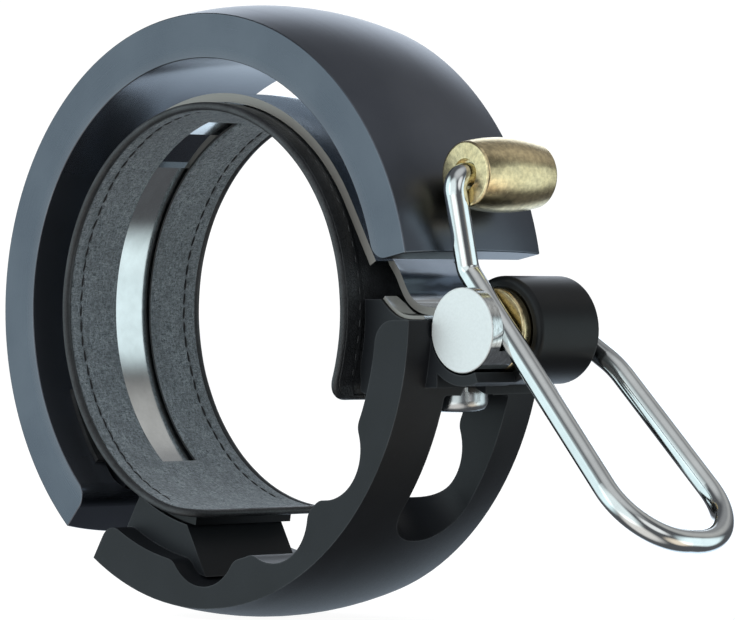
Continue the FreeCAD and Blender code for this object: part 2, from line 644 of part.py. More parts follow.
def make_hammer():
    y0, y1 = HAMMER_Y
    middle = (y0 + y1) / 2
    side = Part.Arc(vec(HAMMER_END_R, y0, 0), vec(HAMMER_MID_R, middle, 0), vec(HAMMER_END_R, y1, 0))
    edges = [
        Part.makeLine(vec(0, y0, 0), vec(HAMMER_END_R, y0, 0)),
        side.toShape(),
        Part.makeLine(vec(HAMMER_END_R, y1, 0), vec(0, y1, 0)),
        Part.makeLine(vec(0, y1, 0), vec(0, y0, 0)),
    ]
    solid = Part.Face(Part.Wire(edges)).revolve(vec(0, 0, 0), AXIS_Y, 360)
    rims = [e for e in solid.Edges if e.Closed and e.Length > 10]
    solid = solid.makeFillet(HAMMER_EDGE_R, rims)
    solid.translate(vec(HAMMER_X, 0, HAMMER_Z))
    hole = rod_y(HAMMER_HOLE_R, HAMMER_X, HAMMER_Z, y0 - 1, y1 - HAMMER_HOLE_STOP)
    mouth = rod_y(HAMMER_MOUTH_R, HAMMER_X, HAMMER_Z, y0 - 1, y0 + HAMMER_MOUTH_DEPTH)
    stem_top, stem_foot = lever_route()[0][1:3]
    groove = Part.makeCylinder(WIRE_R + 0.08, 8, stem_top, stem_foot - stem_top)
    return solid.cut(hole).cut(mouth).cut(groove)


NODES = {
    "bell_ring": make_bell_ring,
    "mount_base": make_mount_base,
    "ring_isolator": make_ring_isolator,
    "isolator_sleeve": make_isolator_sleeve,
    "ring_screw": make_ring_screw,
    "clamp_band": make_clamp_band,
    "band_rivets": make_band_rivets,
    "saddle_plate": make_saddle_plate,
    "felt_liner": make_felt_liner,
    "liner_cover": make_liner_cover,
    "clamp_screw": make_clamp_screw,
    "screw_washer": make_screw_washer,
    "clamp_nut": make_clamp_nut,
    "spring_housing": make_spring_housing,
    "housing_cap": make_housing_cap,
    "housing_screw": make_housing_screw,
    "front_bush": make_front_bush,
    "rear_bush": make_rear_bush,
    "torsion_spring": make_torsion_spring,
    "pivot_shaft": make_pivot_shaft,
    "pivot_hub": make_pivot_hub,
    "shaft_clip": make_shaft_clip,
    "lever_wire": make_lever_wire,
    "hammer": make_hammer,
}

os.makedirs("parts", exist_ok=True)
for name, make in NODES.items():
    save(name, make())
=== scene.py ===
import math
import random

import bmesh
import bpy
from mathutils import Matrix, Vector


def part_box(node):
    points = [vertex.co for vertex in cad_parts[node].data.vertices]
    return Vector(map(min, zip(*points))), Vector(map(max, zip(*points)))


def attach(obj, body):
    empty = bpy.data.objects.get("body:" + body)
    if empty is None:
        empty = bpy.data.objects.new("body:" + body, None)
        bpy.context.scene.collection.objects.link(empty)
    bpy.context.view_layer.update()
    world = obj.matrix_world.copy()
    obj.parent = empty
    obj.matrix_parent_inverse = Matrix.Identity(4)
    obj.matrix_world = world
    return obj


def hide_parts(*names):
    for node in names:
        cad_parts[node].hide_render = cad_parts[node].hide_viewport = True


# Ring-shaped bicycle bell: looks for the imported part. Metres, in the part's own frame:
# +Y runs along the handlebar away from the front, +X points to the striker, +Z is up.

MM = 0.001
TAU = 2 * math.pi

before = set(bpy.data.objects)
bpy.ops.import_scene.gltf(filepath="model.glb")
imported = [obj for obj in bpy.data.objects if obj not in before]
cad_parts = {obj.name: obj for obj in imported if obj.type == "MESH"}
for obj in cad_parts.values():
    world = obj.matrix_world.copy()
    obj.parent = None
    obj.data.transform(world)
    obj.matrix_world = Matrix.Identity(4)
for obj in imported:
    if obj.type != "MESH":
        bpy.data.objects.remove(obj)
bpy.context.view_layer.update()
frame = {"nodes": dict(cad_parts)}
nodes = frame["nodes"]

# ---- places read from the frame ----
hub_low, hub_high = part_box("pivot_hub")
PIVOT = Vector(((hub_low.x + hub_high.x) / 2, 0, (hub_low.z + hub_high.z) / 2))
hammer_low, hammer_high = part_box("hammer")
HAMMER = Vector(((hammer_low.x + hammer_high.x) / 2, 0, (hammer_low.z + hammer_high.z) / 2))
felt_low, felt_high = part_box("felt_liner")
_, cover_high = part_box("liner_cover")


# ---------------------------------------------------------------- node helpers
class Tree:
    """A material's node tree, with one method for each kind of node used here."""

    def __init__(self, name):
        self.material = bpy.data.materials.new(name)
        self.material.use_nodes = True
        self.nodes = self.material.node_tree.nodes
        self.links = self.material.node_tree.links
        self.shader = self.nodes["Principled BSDF"]

    def add(self, kind, **settings):
        node = self.nodes.new(kind)
        for name, value in settings.items():
            setattr(node, name, value)
        return node

    def put(self, value, socket):
        """Links an output to a socket, or writes a plain value on it."""
        if isinstance(value, bpy.types.NodeSocket):
            self.links.new(value, socket)
        else:
            socket.default_value = value

    def set(self, name, value):
        if isinstance(value, tuple) and len(value) == 3 and not name.endswith("Radius"):
            value = (*value, 1.0)
        self.put(value, self.shader.inputs[name])

    def maths(self, operation, a, b=0.0, c=0.0):
        node = self.add("ShaderNodeMath", operation=operation)
        for value, socket in zip((a, b, c), node.inputs):
            self.put(value, socket)
        return node.outputs[0]

    def position(self):
        return self.add("ShaderNodeTexCoord").outputs["Object"]

    def split(self, vector):
        node = self.add("ShaderNodeSeparateXYZ")
        self.put(vector, node.inputs[0])
        return node.outputs

    def join(self, x, y, z):
        node = self.add("ShaderNodeCombineXYZ")
        for value, socket in zip((x, y, z), node.inputs):
            self.put(value, socket)
        return node.outputs[0]

    def scaled(self, vector, scale):
        node = self.add("ShaderNodeVectorMath", operation="MULTIPLY")
        self.put(vector, node.inputs[0])
        node.inputs[1].default_value = scale
        return node.outputs[0]

    def noise(self, vector, size, detail=3.0, roughness=0.5, distortion=0.0):
        """Noise with features of about size metres."""
        node = self.add("ShaderNodeTexNoise")
        self.put(vector, node.inputs["Vector"])
        node.inputs["Scale"].default_value = 1 / size
        node.inputs["Detail"].default_value = detail
        node.inputs["Roughness"].default_value = roughness
        node.inputs["Distortion"].default_value = distortion
        return node.outputs["Fac"]

    def cells(self, vector, size, feature="F1"):
        node = self.add("ShaderNodeTexVoronoi", feature=feature)
        self.put(vector, node.inputs["Vector"])
        node.inputs["Scale"].default_value = 1 / size
        return node.outputs["Distance"]

    def span(self, value, low, high, to_low, to_high, smooth=False):
        kind = "SMOOTHSTEP" if smooth else "LINEAR"
        node = self.add("ShaderNodeMapRange", interpolation_type=kind)
        for v, socket in zip((value, low, high, to_low, to_high), node.inputs):
            self.put(v, socket)
        return node.outputs[0]

    def mix(self, factor, a, b, blend="MIX"):
        node = self.add("ShaderNodeMix", data_type="RGBA", blend_type=blend)
        self.put(factor, node.inputs["Factor"])
        for value, socket in ((a, node.inputs[6]), (b, node.inputs[7])):
            self.put((*value, 1.0) if isinstance(value, tuple) else value, socket)
        return node.outputs[2]

    def bump(self, height, distance, strength=1.0, normal=None):
        node = self.add("ShaderNodeBump")
        node.inputs["Strength"].default_value = strength
        node.inputs["Distance"].default_value = distance
        self.put(height, node.inputs["Height"])
        if normal is not None:
            self.put(normal, node.inputs["Normal"])
        return node.outputs[0]

    def round_axis(self, centre):
        """(distance from an axis along Y, place along it, angle round it)."""
        x, y, z = self.split(self.position())
        dx = self.maths("SUBTRACT", x, centre.x)
        dz = self.maths("SUBTRACT", z, centre.z)
        squares = self.maths("ADD", self.maths("MULTIPLY", dx, dx), self.maths("MULTIPLY", dz, dz))
        radius = self.maths("SQRT", squares)
        angle = self.maths("ARCTAN2", dz, dx)
        return radius, y, angle

    def turned(self, centre, groove, along=40.0):
        """Fine lathe marks: noise that is narrow across the cut and long round it."""
        radius, y, angle = self.round_axis(centre)
        vector = self.join(self.maths("DIVIDE", radius, groove), self.maths("DIVIDE", y, groove),
                           self.maths("MULTIPLY", angle, 1.0 / along * TAU))
        return self.noise(vector, 1.0, detail=2.0)

    def edges(self, radius):
        """1 on sharp outer edges and 0 elsewhere."""
        soft = self.add("ShaderNodeBevel", samples=4)
        soft.inputs["Radius"].default_value = radius
        dot = self.add("ShaderNodeVectorMath", operation="DOT_PRODUCT")
        self.put(soft.outputs[0], dot.inputs[0])
        self.put(self.add("ShaderNodeNewGeometry").outputs["Normal"], dot.inputs[1])
        return self.span(dot.outputs["Value"], 0.998, 0.93, 0.0, 1.0)


# ---------------------------------------------------------------- materials
def ring_material():
    """Dark coated bell metal: satin turned outside, near mirror inside the bore."""
    t = Tree("ring_dark_coated")
    centre = Vector((0, 0, 0))
    radius, y, _ = t.round_axis(centre)
    marks = t.turned(centre, 0.05 * MM, along=2.0)
    cloud = t.noise(t.position(), 6 * MM, detail=4)
    bore = t.span(radius, 20.3 * MM, 20.9 * MM, 1.0, 0.0)
    flat = t.span(t.maths("ABSOLUTE", y), 7.43 * MM, 7.445 * MM, 0.0, 1.0)
    base = t.mix(t.span(cloud, 0.35, 0.65, 0.0, 1.0), (0.128, 0.142, 0.17), (0.148, 0.163, 0.192))
    worn = t.maths("MULTIPLY", t.edges(0.12 * MM), t.span(cloud, 0.4, 0.6, 0.35, 0.8))
    t.set("Base Color", t.mix(worn, base, (0.34, 0.37, 0.4)))
    t.set("Metallic", t.maths("MULTIPLY_ADD", bore, -0.3, 1.0))
    outside = t.maths("ADD", 0.27, t.maths("MULTIPLY", marks, 0.1))
    outside = t.maths("ADD", outside, t.maths("MULTIPLY", cloud, 0.06))
    rough = t.maths("MULTIPLY_ADD", bore, -0.2, outside)
    t.set("Roughness", t.maths("MULTIPLY_ADD", flat, -0.06, rough))
    height = t.maths("MULTIPLY", marks, t.span(bore, 0.0, 1.0, 1.0, 0.15))
    t.set("Normal", t.bump(height, 0.0016 * MM, 0.5))
    return t.material


def moulded_material(name, colour, rough, grain, sheen_edge):
    """Glass-filled nylon with a fine spark-eroded skin."""
    t = Tree(name)
    place = t.position()
    grit = t.noise(place, grain, detail=2, roughness=0.6)
    patch = t.noise(place, 3.5 * MM, detail=4)
    dust = t.noise(place, 0.35 * MM, detail=3)
    dark = tuple(c * 0.82 for c in colour)
    base = t.mix(t.span(patch, 0.35, 0.65, 0.0, 1.0), dark, colour)
    base = t.mix(t.span(dust, 0.62, 0.8, 0.0, 0.25), base, tuple(c * 2.2 for c in colour))
    edge = t.maths("MULTIPLY", t.edges(0.15 * MM), t.span(patch, 0.35, 0.65, 0.3, 1.0))
    t.set("Base Color", t.mix(t.maths("MULTIPLY", edge, sheen_edge), base, (0.16, 0.17, 0.18)))
    rough_map = t.maths("MULTIPLY_ADD", grit, 0.16, rough - 0.08)
    t.set("Roughness", t.maths("MULTIPLY_ADD", edge, -0.1, rough_map))
    t.set("Specular IOR Level", 0.3)
    t.set("Normal", t.bump(grit, 0.012 * MM, 0.35))
    return t.material


def steel_material(name, tint, rough, brushed=None, patchy=0.05, shade_painted_below=None):
    """Polished stainless steel. brushed stretches its fine lines along one direction.

    A sheet's cut edges face along Y and are duller, and below the given height its colour is painted near
    black as shade.
    """
    t = Tree(name)
    place = t.position()
    vector = t.scaled(place, brushed) if brushed else place
    lines = t.noise(vector, 0.06 * MM, detail=2)
    smear = t.noise(place, 2.2 * MM, detail=5, roughness=0.6)
    dull = tuple(c * 0.86 for c in tint)
    base = t.mix(t.span(smear, 0.35, 0.7, 0.0, 1.0), tint, dull)
    level = t.maths("MULTIPLY_ADD", smear, patchy, rough - patchy / 2)
    metal = 1.0
    if shade_painted_below is not None:
        _, ny, _ = t.split(t.add("ShaderNodeTexCoord").outputs["Normal"])
        _, _, z = t.split(place)
        cut = t.span(t.maths("ABSOLUTE", ny), 0.5, 0.95, 0.0, 1.0)
        # painted shadow: below the given height the colour goes near black, standing in for the shade the
        # band's lower end lies in
        black = t.span(z, shade_painted_below, shade_painted_below + 1.2 * MM, 1.0, 0.0)
        base = t.mix(cut, base, (0.3, 0.285, 0.265))
        base = t.mix(black, base, (0.012, 0.012, 0.013))
        level = t.maths("MULTIPLY_ADD", t.maths("MAXIMUM", cut, black), 0.28, level)
        metal = t.maths("MULTIPLY_ADD", cut, -0.5, 1.0)
    t.set("Base Color", base)
    t.set("Metallic", metal)
    t.set("Roughness", t.maths("MULTIPLY_ADD", lines, 0.05, level))
    t.set("Normal", t.bump(lines, 0.0009 * MM, 0.5))
    return t.material


def lathe_material(name, centre, tint, groove, depth, rough, shine, dirt, matte_face=None):
    """Metal turned on an axis along Y, its marks running round that axis.

    matte_face is the place along Y of a front face that is blasted to an even pale satin.
    """
    t = Tree(name)
    fine = t.turned(centre, groove, along=1.2)
    coarse = t.turned(centre, groove * 6, along=0.8)
    stain = t.noise(t.position(), 1.6 * MM, detail=5, roughness=0.62)
    base = t.mix(t.span(stain, 0.35, 0.7, 0.0, 1.0), tint, dirt)
    base = t.mix(t.span(coarse, 0.35, 0.7, 0.0, 0.7), base, tuple(c * 0.5 for c in tint))
    edge = t.edges(0.12 * MM)
    bright = tuple(min(1.0, c * 1.15) for c in tint)
    colour = t.mix(t.maths("MULTIPLY", edge, 0.6), base, bright)
    roughness = t.maths("MULTIPLY_ADD", fine, 0.14, rough - 0.07)
    metal = 1.0
    if matte_face is not None:
        _, y, _ = t.round_axis(centre)
        face = t.span(y, matte_face + 0.04 * MM, matte_face + 0.1 * MM, 1.0, 0.0)
        roughness = t.maths("MULTIPLY_ADD", face, 0.4, roughness)
        metal = t.maths("MULTIPLY_ADD", face, -0.45, 1.0)
        colour = t.mix(t.maths("MULTIPLY", face, 0.85), base, tint)
    t.set("Base Color", colour)
    t.set("Metallic", metal)
    t.set("Roughness", roughness)
    t.set("Anisotropic", shine)
    tangent = t.add("ShaderNodeTangent", direction_type="RADIAL", axis="Y")
    t.set("Tangent", tangent.outputs[0])
    height = t.maths("ADD", fine, coarse)
    t.set("Normal", t.bump(height, depth, 0.6))
    return t.material


def rubber_material():
    t = Tree("isolator_rubber")
    grain = t.noise(t.position(), 0.12 * MM, detail=4, roughness=0.7)
    bloom = t.noise(t.position(), 1.5 * MM, detail=4)
    shade = t.span(bloom, 0.4, 0.7, 0.0, 1.0)
    t.set("Base Color", t.mix(shade, (0.014, 0.015, 0.016), (0.035, 0.036, 0.038)))
    t.set("Roughness", t.span(grain, 0.3, 0.7, 0.6, 0.8))
    t.set("Normal", t.bump(grain, 0.02 * MM, 0.5))
    return t.material


def felt_material():
    """Pressed wool felt: mottled grey with lighter and darker fibres in all directions."""
    t = Tree("liner_felt")
    place = t.position()
    fibres = t.noise(t.scaled(place, (1.0, 3.0, 1.0)), 0.42 * MM, detail=6, roughness=0.75, distortion=1.2)
    cross = t.noise(t.scaled(place, (3.0, 1.0, 3.0)), 0.36 * MM, detail=6, roughness=0.75, distortion=0.8)
    mottle = t.noise(place, 1.6 * MM, detail=5, roughness=0.65)
    flecks = t.span(t.noise(place, 0.22 * MM, detail=3), 0.6, 0.72, 0.0, 1.0)
    both = t.maths("MULTIPLY_ADD", fibres, 0.5, t.maths("MULTIPLY", cross, 0.5))
    base = t.mix(t.span(both, 0.42, 0.58, 0.0, 1.0), (0.046, 0.06, 0.068), (0.41, 0.46, 0.5))
    base = t.mix(t.span(mottle, 0.4, 0.64, 0.0, 0.5), base, (0.12, 0.138, 0.15))
    base = t.mix(t.maths("MULTIPLY", flecks, 0.5), base, (0.4, 0.43, 0.45))
    t.set("Base Color", base)
    t.set("Roughness", 0.95)
    t.set("Specular IOR Level", 0.15)
    t.set("Sheen Weight", 0.3)
    t.set("Sheen Roughness", 0.6)
    t.set("Sheen Tint", (0.75, 0.8, 0.85))
    height = t.maths("MULTIPLY_ADD", both, 0.7, t.maths("MULTIPLY", mottle, 0.3))
    t.set("Normal", t.bump(height, 0.25 * MM, 0.8))
    return t.material


def leather_material(name, colour, rough):
    """Smooth black leather: small pebbled cells with creases between them."""
    t = Tree(name)
    place = t.position()
    cell = t.cells(place, 0.34 * MM)
    crease = t.cells(place, 0.34 * MM, feature="DISTANCE_TO_EDGE")
    pore = t.noise(place, 0.08 * MM, detail=3)
    rub = t.noise(place, 2.5 * MM, detail=4)
    base = t.mix(t.span(crease, 0.0, 0.12, 0.0, 1.0), tuple(c * 0.55 for c in colour), colour)
    base = t.mix(t.span(rub, 0.45, 0.75, 0.0, 0.5), base, tuple(c * 2.0 for c in colour))
    t.set("Base Color", base)
    t.set("Roughness", t.maths("MULTIPLY_ADD", cell, -0.1, t.span(rub, 0.3, 0.7, rough + 0.1, rough - 0.04)))
    t.set("Specular IOR Level", 0.5)
    height = t.maths("MULTIPLY_ADD", t.span(crease, 0.0, 0.15, 0.0, 1.0), 0.7, t.maths("MULTIPLY", pore, 0.3))
    t.set("Normal", t.bump(height, 0.035 * MM, 0.55))
    return t.material


def thread_material(name, colour):
    """Waxed sewing thread, its twist shown as slanted lines."""
    t = Tree(name)
    x, y, z = t.split(t.position())
    slant = t.maths("ADD", t.maths("ADD", x, z), t.maths("MULTIPLY", y, 1.4))
    twist = t.maths("SINE", t.maths("MULTIPLY", slant, TAU / (0.09 * MM)))
    fuzz = t.noise(t.position(), 0.05 * MM, detail=3)
    t.set("Base Color", t.mix(t.span(twist, -1, 1, 0, 1), tuple(c * 0.55 for c in colour), colour))
    t.set("Roughness", t.span(fuzz, 0.3, 0.7, 0.5, 0.7))
    t.set("Sheen Weight", 0.2)
    t.set("Normal", t.bump(twist, 0.01 * MM, 0.8))
    return t.material


def floor_material():
    t = Tree("pale_floor")
    cloud = t.noise(t.position(), 0.05, detail=3)
    t.set("Base Color", t.mix(cloud, (0.2, 0.2, 0.2), (0.22, 0.22, 0.22)))
    t.set("Roughness", 0.9)
    t.set("Specular IOR Level", 0.0)
    t.set("Emission Color", (1.0, 1.0, 1.0))
    t.set("Emission Strength", 0.95)
    return t.material


STEEL_TINT = (0.80, 0.83, 0.83)
BRASS_TINT = (0.96, 0.80, 0.48)
BRASS_DIRT = (0.86, 0.69, 0.39)
NYLON = (0.0112, 0.0128, 0.0158)
HOUSING_NYLON = (0.009, 0.0105, 0.012)
SHADE_PAINTED_BELOW = -15.4 * MM         # painted shade: the band's lower end is coloured near black below this height
EDGE_BREAKS = {"clamp_band": 0.14 * MM, "saddle_plate": 0.05 * MM, "mount_base": 0.12 * MM}


def dress_frame():
    """One material for each CAD node that stays in view."""
    steel = steel_material("polished_steel", STEEL_TINT, 0.12)
    screw_steel = steel_material("screw_steel", (0.72, 0.75, 0.76), 0.2)
    band_steel = steel_material("band_steel", STEEL_TINT, 0.11, brushed=(1, 30, 1),
                                shade_painted_below=SHADE_PAINTED_BELOW)
    wire_steel = steel_material("wire_steel", (0.9, 0.94, 0.94), 0.09)
    spring_steel = steel_material("spring_steel", (0.5, 0.5, 0.52), 0.25)
    hub_steel = lathe_material("turned_hub", PIVOT, (0.84, 0.87, 0.87), 0.035 * MM, 0.0005 * MM, 0.16, 0.2,
                               (0.78, 0.82, 0.83), matte_face=hub_low.y)
    hammer_brass = lathe_material("turned_brass", HAMMER, BRASS_TINT, 0.07 * MM, 0.0035 * MM, 0.24, 0.6,
                                  BRASS_DIRT)
    bush_brass = lathe_material("bush_brass", PIVOT, BRASS_TINT, 0.05 * MM, 0.003 * MM, 0.22, 0.5, BRASS_DIRT)
    base_nylon = moulded_material("base_nylon", NYLON, 0.46, 0.11 * MM, 0.3)
    housing_nylon = moulded_material("housing_nylon", HOUSING_NYLON, 0.4, 0.09 * MM, 0.25)
    finishes = {
        "bell_ring": ring_material(),
        "mount_base": base_nylon,
        "ring_isolator": rubber_material(),
        "isolator_sleeve": steel,
        "ring_screw": screw_steel,
        "clamp_band": band_steel,
        "band_rivets": steel,
        "saddle_plate": band_steel,
        "clamp_screw": screw_steel,
        "screw_washer": steel,
        "clamp_nut": steel,
        "spring_housing": housing_nylon,
        "housing_cap": housing_nylon,
        "housing_screw": screw_steel,
        "front_bush": bush_brass,
        "rear_bush": bush_brass,
        "torsion_spring": spring_steel,
        "pivot_shaft": steel,
        "pivot_hub": hub_steel,
        "shaft_clip": steel,
        "lever_wire": wire_steel,
        "hammer": hammer_brass,
    }
    for name, material in finishes.items():
        nodes[name].data.materials.clear()
        nodes[name].data.materials.append(material)
    for name, width in EDGE_BREAKS.items():
        bevel = nodes[name].modifiers.new("edge_break", "BEVEL")
        bevel.width, bevel.segments = width, 3
        bevel.limit_method, bevel.angle_limit = "ANGLE", math.radians(40)
        bevel.use_clamp_overlap = True


# ---------------------------------------------------------------- the liner
FELT_R0 = 15.9 * MM               # bore of the felt, the handlebar's radius
LINER_R1 = cover_high.z           # outer side of the cover
CORD_R = 0.34 * MM                # rolled edge of the cover
LINER_MID_R = (FELT_R0 + LINER_R1) / 2
START_DEG, END_DEG = -25.0, 266.0
SLOT_DEG = (107.0, 230.4)
SLOT_Y = (-2.0 * MM, 2.1 * MM)
SEAM_INSET = 1.75 * MM            # stitch lines, in from each edge
STITCH, STITCH_GAP = 1.18 * MM, 0.07 * MM
THREAD_R = 0.075 * MM
GROOVE_HALF = 0.17 * MM            # half width of the sewn groove
FELT_MARGIN = CORD_R * 1.7         # the felt stops this far in, under the rolled edge
START_SEAM, END_SEAM = 1.9 * MM, 3.2 * MM   # where the stitching stops before each end
FRONT_Y, REAR_Y = felt_low.y, felt_high.y
CORNERS = {"start": (1.7 * MM, 1.7 * MM), "end": (2.9 * MM, 0.7 * MM)}   # front and rear radius


def on_cylinder(arc, y, radius, reference):
    """A point of the unrolled liner, arc measured at the reference radius from angle 0."""
    angle = arc / reference
    return Vector((radius * math.cos(angle), y, radius * math.sin(angle)))


def arc_at(degrees):
    return math.radians(degrees) * LINER_MID_R


def edge_inset(distance, corner):
    """How far a rounded corner pulls the edge in, this far from the end."""
    if distance >= corner:
        return 0.0
    return corner - math.sqrt(max(0.0, corner ** 2 - (corner - distance) ** 2))


def edge_limits(arc, margin):
    """(front y, rear y) of the liner at an arc position, a margin in from its outline."""
    to_start, to_end = arc - arc_at(START_DEG) - margin, arc_at(END_DEG) - margin - arc
    insets = [max(edge_inset(max(to_start, 0), start), edge_inset(max(to_end, 0), end))
              for start, end in zip(CORNERS["start"], CORNERS["end"])]
    return FRONT_Y + margin + insets[0], REAR_Y - margin - insets[1]


def seam_wave(arc):
    """How far a hand-led seam strays sideways at this place along it."""
    return 0.05 * MM * math.sin(arc / (2.9 * MM)) + 0.03 * MM * math.sin(arc / (1.1 * MM) + 1.0)


def seam_dip(arc, y, start, end):
    """Depth share of the sewn groove: 1 on a stitch line, 0 away from it."""
    if arc < start or arc > end:
        return 0.0
    dip = 0.0
    for seam in (FRONT_Y + SEAM_INSET, REAR_Y - SEAM_INSET):
        across = (y - seam - seam_wave(arc)) / GROOVE_HALF
        pulled = 0.72 + 0.28 * math.cos(TAU * arc / (STITCH + STITCH_GAP))
        dip = max(dip, pulled * math.exp(-across * across))
    return dip


def ripple(arc, y):
    """Slow unevenness of a soft layer, from -1 to 1."""
    a, b = arc / (4.1 * MM), y / (2.7 * MM)
    return (math.sin(a + 1.3 * math.sin(b)) + math.sin(2.3 * a - b + 0.7) + math.sin(1.7 * b + 0.6 * a)) / 3


def stations():
    """Arc positions along the liner, closer together at its rounded ends and at the slot."""
    coarse, fine, rounded = 0.3 * MM, 0.1 * MM, 2.4 * MM
    first, last = arc_at(START_DEG) + CORD_R, arc_at(END_DEG) - CORD_R
    slot_start, slot_end = (arc_at(degrees) for degrees in SLOT_DEG)
    stops = [first, first + rounded, slot_start, slot_end, last - rounded, last]
    steps = [fine, coarse, coarse, coarse, fine]
    places = [first]
    for a, b, size in zip(stops, stops[1:], steps):
        count = max(1, round((b - a) / size))
        places += [a + (b - a) * (i + 1) / count for i in range(count)]
    return places


SIDE_CELLS, SLOT_CELLS = 34, 12    # mesh cells across each side of the slot, and across it
SLOT_COLUMNS = range(SIDE_CELLS, SIDE_CELLS + SLOT_CELLS)


def columns(arc, margin):
    """Positions across the liner, with lines on the slot's two sides."""
    front, rear = edge_limits(arc, margin)
    shares = ((front, SLOT_Y[0], SIDE_CELLS), (SLOT_Y[0], SLOT_Y[1], SLOT_CELLS),
              (SLOT_Y[1], rear, SIDE_CELLS))
    places = [front]
    for a, b, count in shares:
        places += [a + (b - a) * (i + 1) / count for i in range(count)]
    return places


def layer_mesh(name, inner, outer, margin):
    """A closed curved sheet between two radius functions of (arc, y), with the long slot left out."""
    rows = stations()
    grid = [columns(arc, margin) for arc in rows]
    count = len(grid[0])
    slot_arcs = (arc_at(SLOT_DEG[0]) - 1e-9, arc_at(SLOT_DEG[1]) + 1e-9)
    points = []
    for side in (inner, outer):
        for arc, ys in zip(rows, grid):
            points += [on_cylinder(arc, y, side(arc, y), LINER_MID_R) for y in ys]

    def at(layer, i, j):
        return (layer * len(rows) + i) * count + j

    def kept(i, j):
        if not (0 <= i < len(rows) - 1 and 0 <= j < count - 1):
            return False
        middle = (rows[i] + rows[i + 1]) / 2
        return not (j in SLOT_COLUMNS and slot_arcs[0] < middle < slot_arcs[1])

    faces = []
    for i in range(len(rows) - 1):
        for j in range(count - 1):
            if not kept(i, j):
                continue
            corners = ((i, j), (i, j + 1), (i + 1, j + 1), (i + 1, j))
            faces.append([at(0, *c) for c in corners][::-1])
            faces.append([at(1, *c) for c in corners])
            for (a, b), beside in (((0, 1), (i - 1, j)), ((1, 2), (i, j + 1)),
                                   ((2, 3), (i + 1, j)), ((3, 0), (i, j - 1))):
                if not kept(*beside):
                    p, q = corners[a], corners[b]
                    faces.append([at(0, *p), at(0, *q), at(1, *q), at(1, *p)])
    return mesh_object(name, points, faces)


def mesh_object(name, points, faces, smooth=True):
    mesh = bpy.data.meshes.new(name)
    mesh.from_pydata([tuple(p) for p in points], [], faces)
    mesh.validate()
    obj = bpy.data.objects.new(name, mesh)
    bpy.context.scene.collection.objects.link(obj)
    tidy_mesh(mesh)
    if smooth:
        mesh.shade_smooth()
    return obj


def tidy_mesh(mesh):
    """Drops loose points and turns all faces outwards."""
    bm = bmesh.new()
    bm.from_mesh(mesh)
    loose = [v for v in bm.verts if not v.link_faces]
    bmesh.ops.delete(bm, geom=loose, context="VERTS")
    bmesh.ops.recalc_face_normals(bm, faces=bm.faces)
    bm.to_mesh(mesh)
    bm.free()


def finish_piece(obj, material, body="base"):
    obj.data.materials.append(material)
    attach(obj, body)
    return obj


FELT_THICK = 0.33 * MM
TAPE_STEP = 0.12 * MM             # the turned-over edge of the cover lies this proud
TAPE_Y = 2.0 * MM                 # how far the turned-over edge reaches in


def felt_inner(arc, y):
    front, rear = edge_limits(arc, FELT_MARGIN)
    to_edge = min(y - front, rear - y)
    rolled = 0.13 * MM * math.exp(-max(to_edge, 0) / (0.16 * MM))
    seam = 0.2 * MM * seam_dip(arc, y, arc_at(START_DEG) + START_SEAM, arc_at(END_DEG) - END_SEAM)
    return FELT_R0 + 0.02 * MM + rolled + seam + 0.018 * MM * ripple(arc, y)


def felt_outer(arc, y):
    return FELT_R0 + FELT_THICK + 0.02 * MM


def cover_inner(arc, y):
    return FELT_R0 + FELT_THICK + 0.03 * MM


def cover_outer(arc, y):
    """Thin in the middle under the band, thicker where the edge is turned over."""
    front, rear = edge_limits(arc, 0.0)
    tape = max(step_up(front + TAPE_Y - y), step_up(y - rear + TAPE_Y))
    seam = 0.06 * MM * seam_dip(arc, y, arc_at(START_DEG) + START_SEAM, arc_at(END_DEG) - END_SEAM)
    return LINER_R1 - TAPE_STEP * (1 - tape) - seam - 0.006 * MM * (1 + ripple(arc, y))


def step_up(distance):
    """0 before a cut edge, 1 behind it, over a very short rise."""
    share = min(max(distance / (0.05 * MM) + 0.5, 0.0), 1.0)
    return share * share * (3 - 2 * share)


def outline(inset):
    """Points and outward directions round the unrolled liner, as (arc, y)."""
    s0, s1 = arc_at(START_DEG) + inset, arc_at(END_DEG) - inset
    y0, y1 = FRONT_Y + inset, REAR_Y - inset
    corners = (
        (s0, y0, CORNERS["start"][0], math.pi),
        (s1, y0, CORNERS["end"][0], 1.5 * math.pi),
        (s1, y1, CORNERS["end"][1], 0.0),
        (s0, y1, CORNERS["start"][1], 0.5 * math.pi),
    )
    path = []
    for s, y, radius, first in corners:
        radius = max(radius - inset, 0.15 * MM)
        centre = (s + radius if s == s0 else s - radius, y + radius if y == y0 else y - radius)
        for k in range(13):
            a = first + k / 12 * math.pi / 2
            place = (centre[0] + radius * math.cos(a), centre[1] + radius * math.sin(a))
            path.append((place, (math.cos(a), math.sin(a))))
    return evened(path, 0.28 * MM)


def evened(path, step):
    """The closed path with straight stretches divided into short steps."""
    dense = []
    for (p, n), (q, m) in zip(path, path[1:] + path[:1]):
        length = math.dist(p, q)
        count = max(1, round(length / step))
        for i in range(count):
            t = i / count
            place = tuple(a + (b - a) * t for a, b in zip(p, q))
            way = Vector(tuple(a + (b - a) * t for a, b in zip(n, m))).normalized()
            dense.append((place, tuple(way)))
    return dense


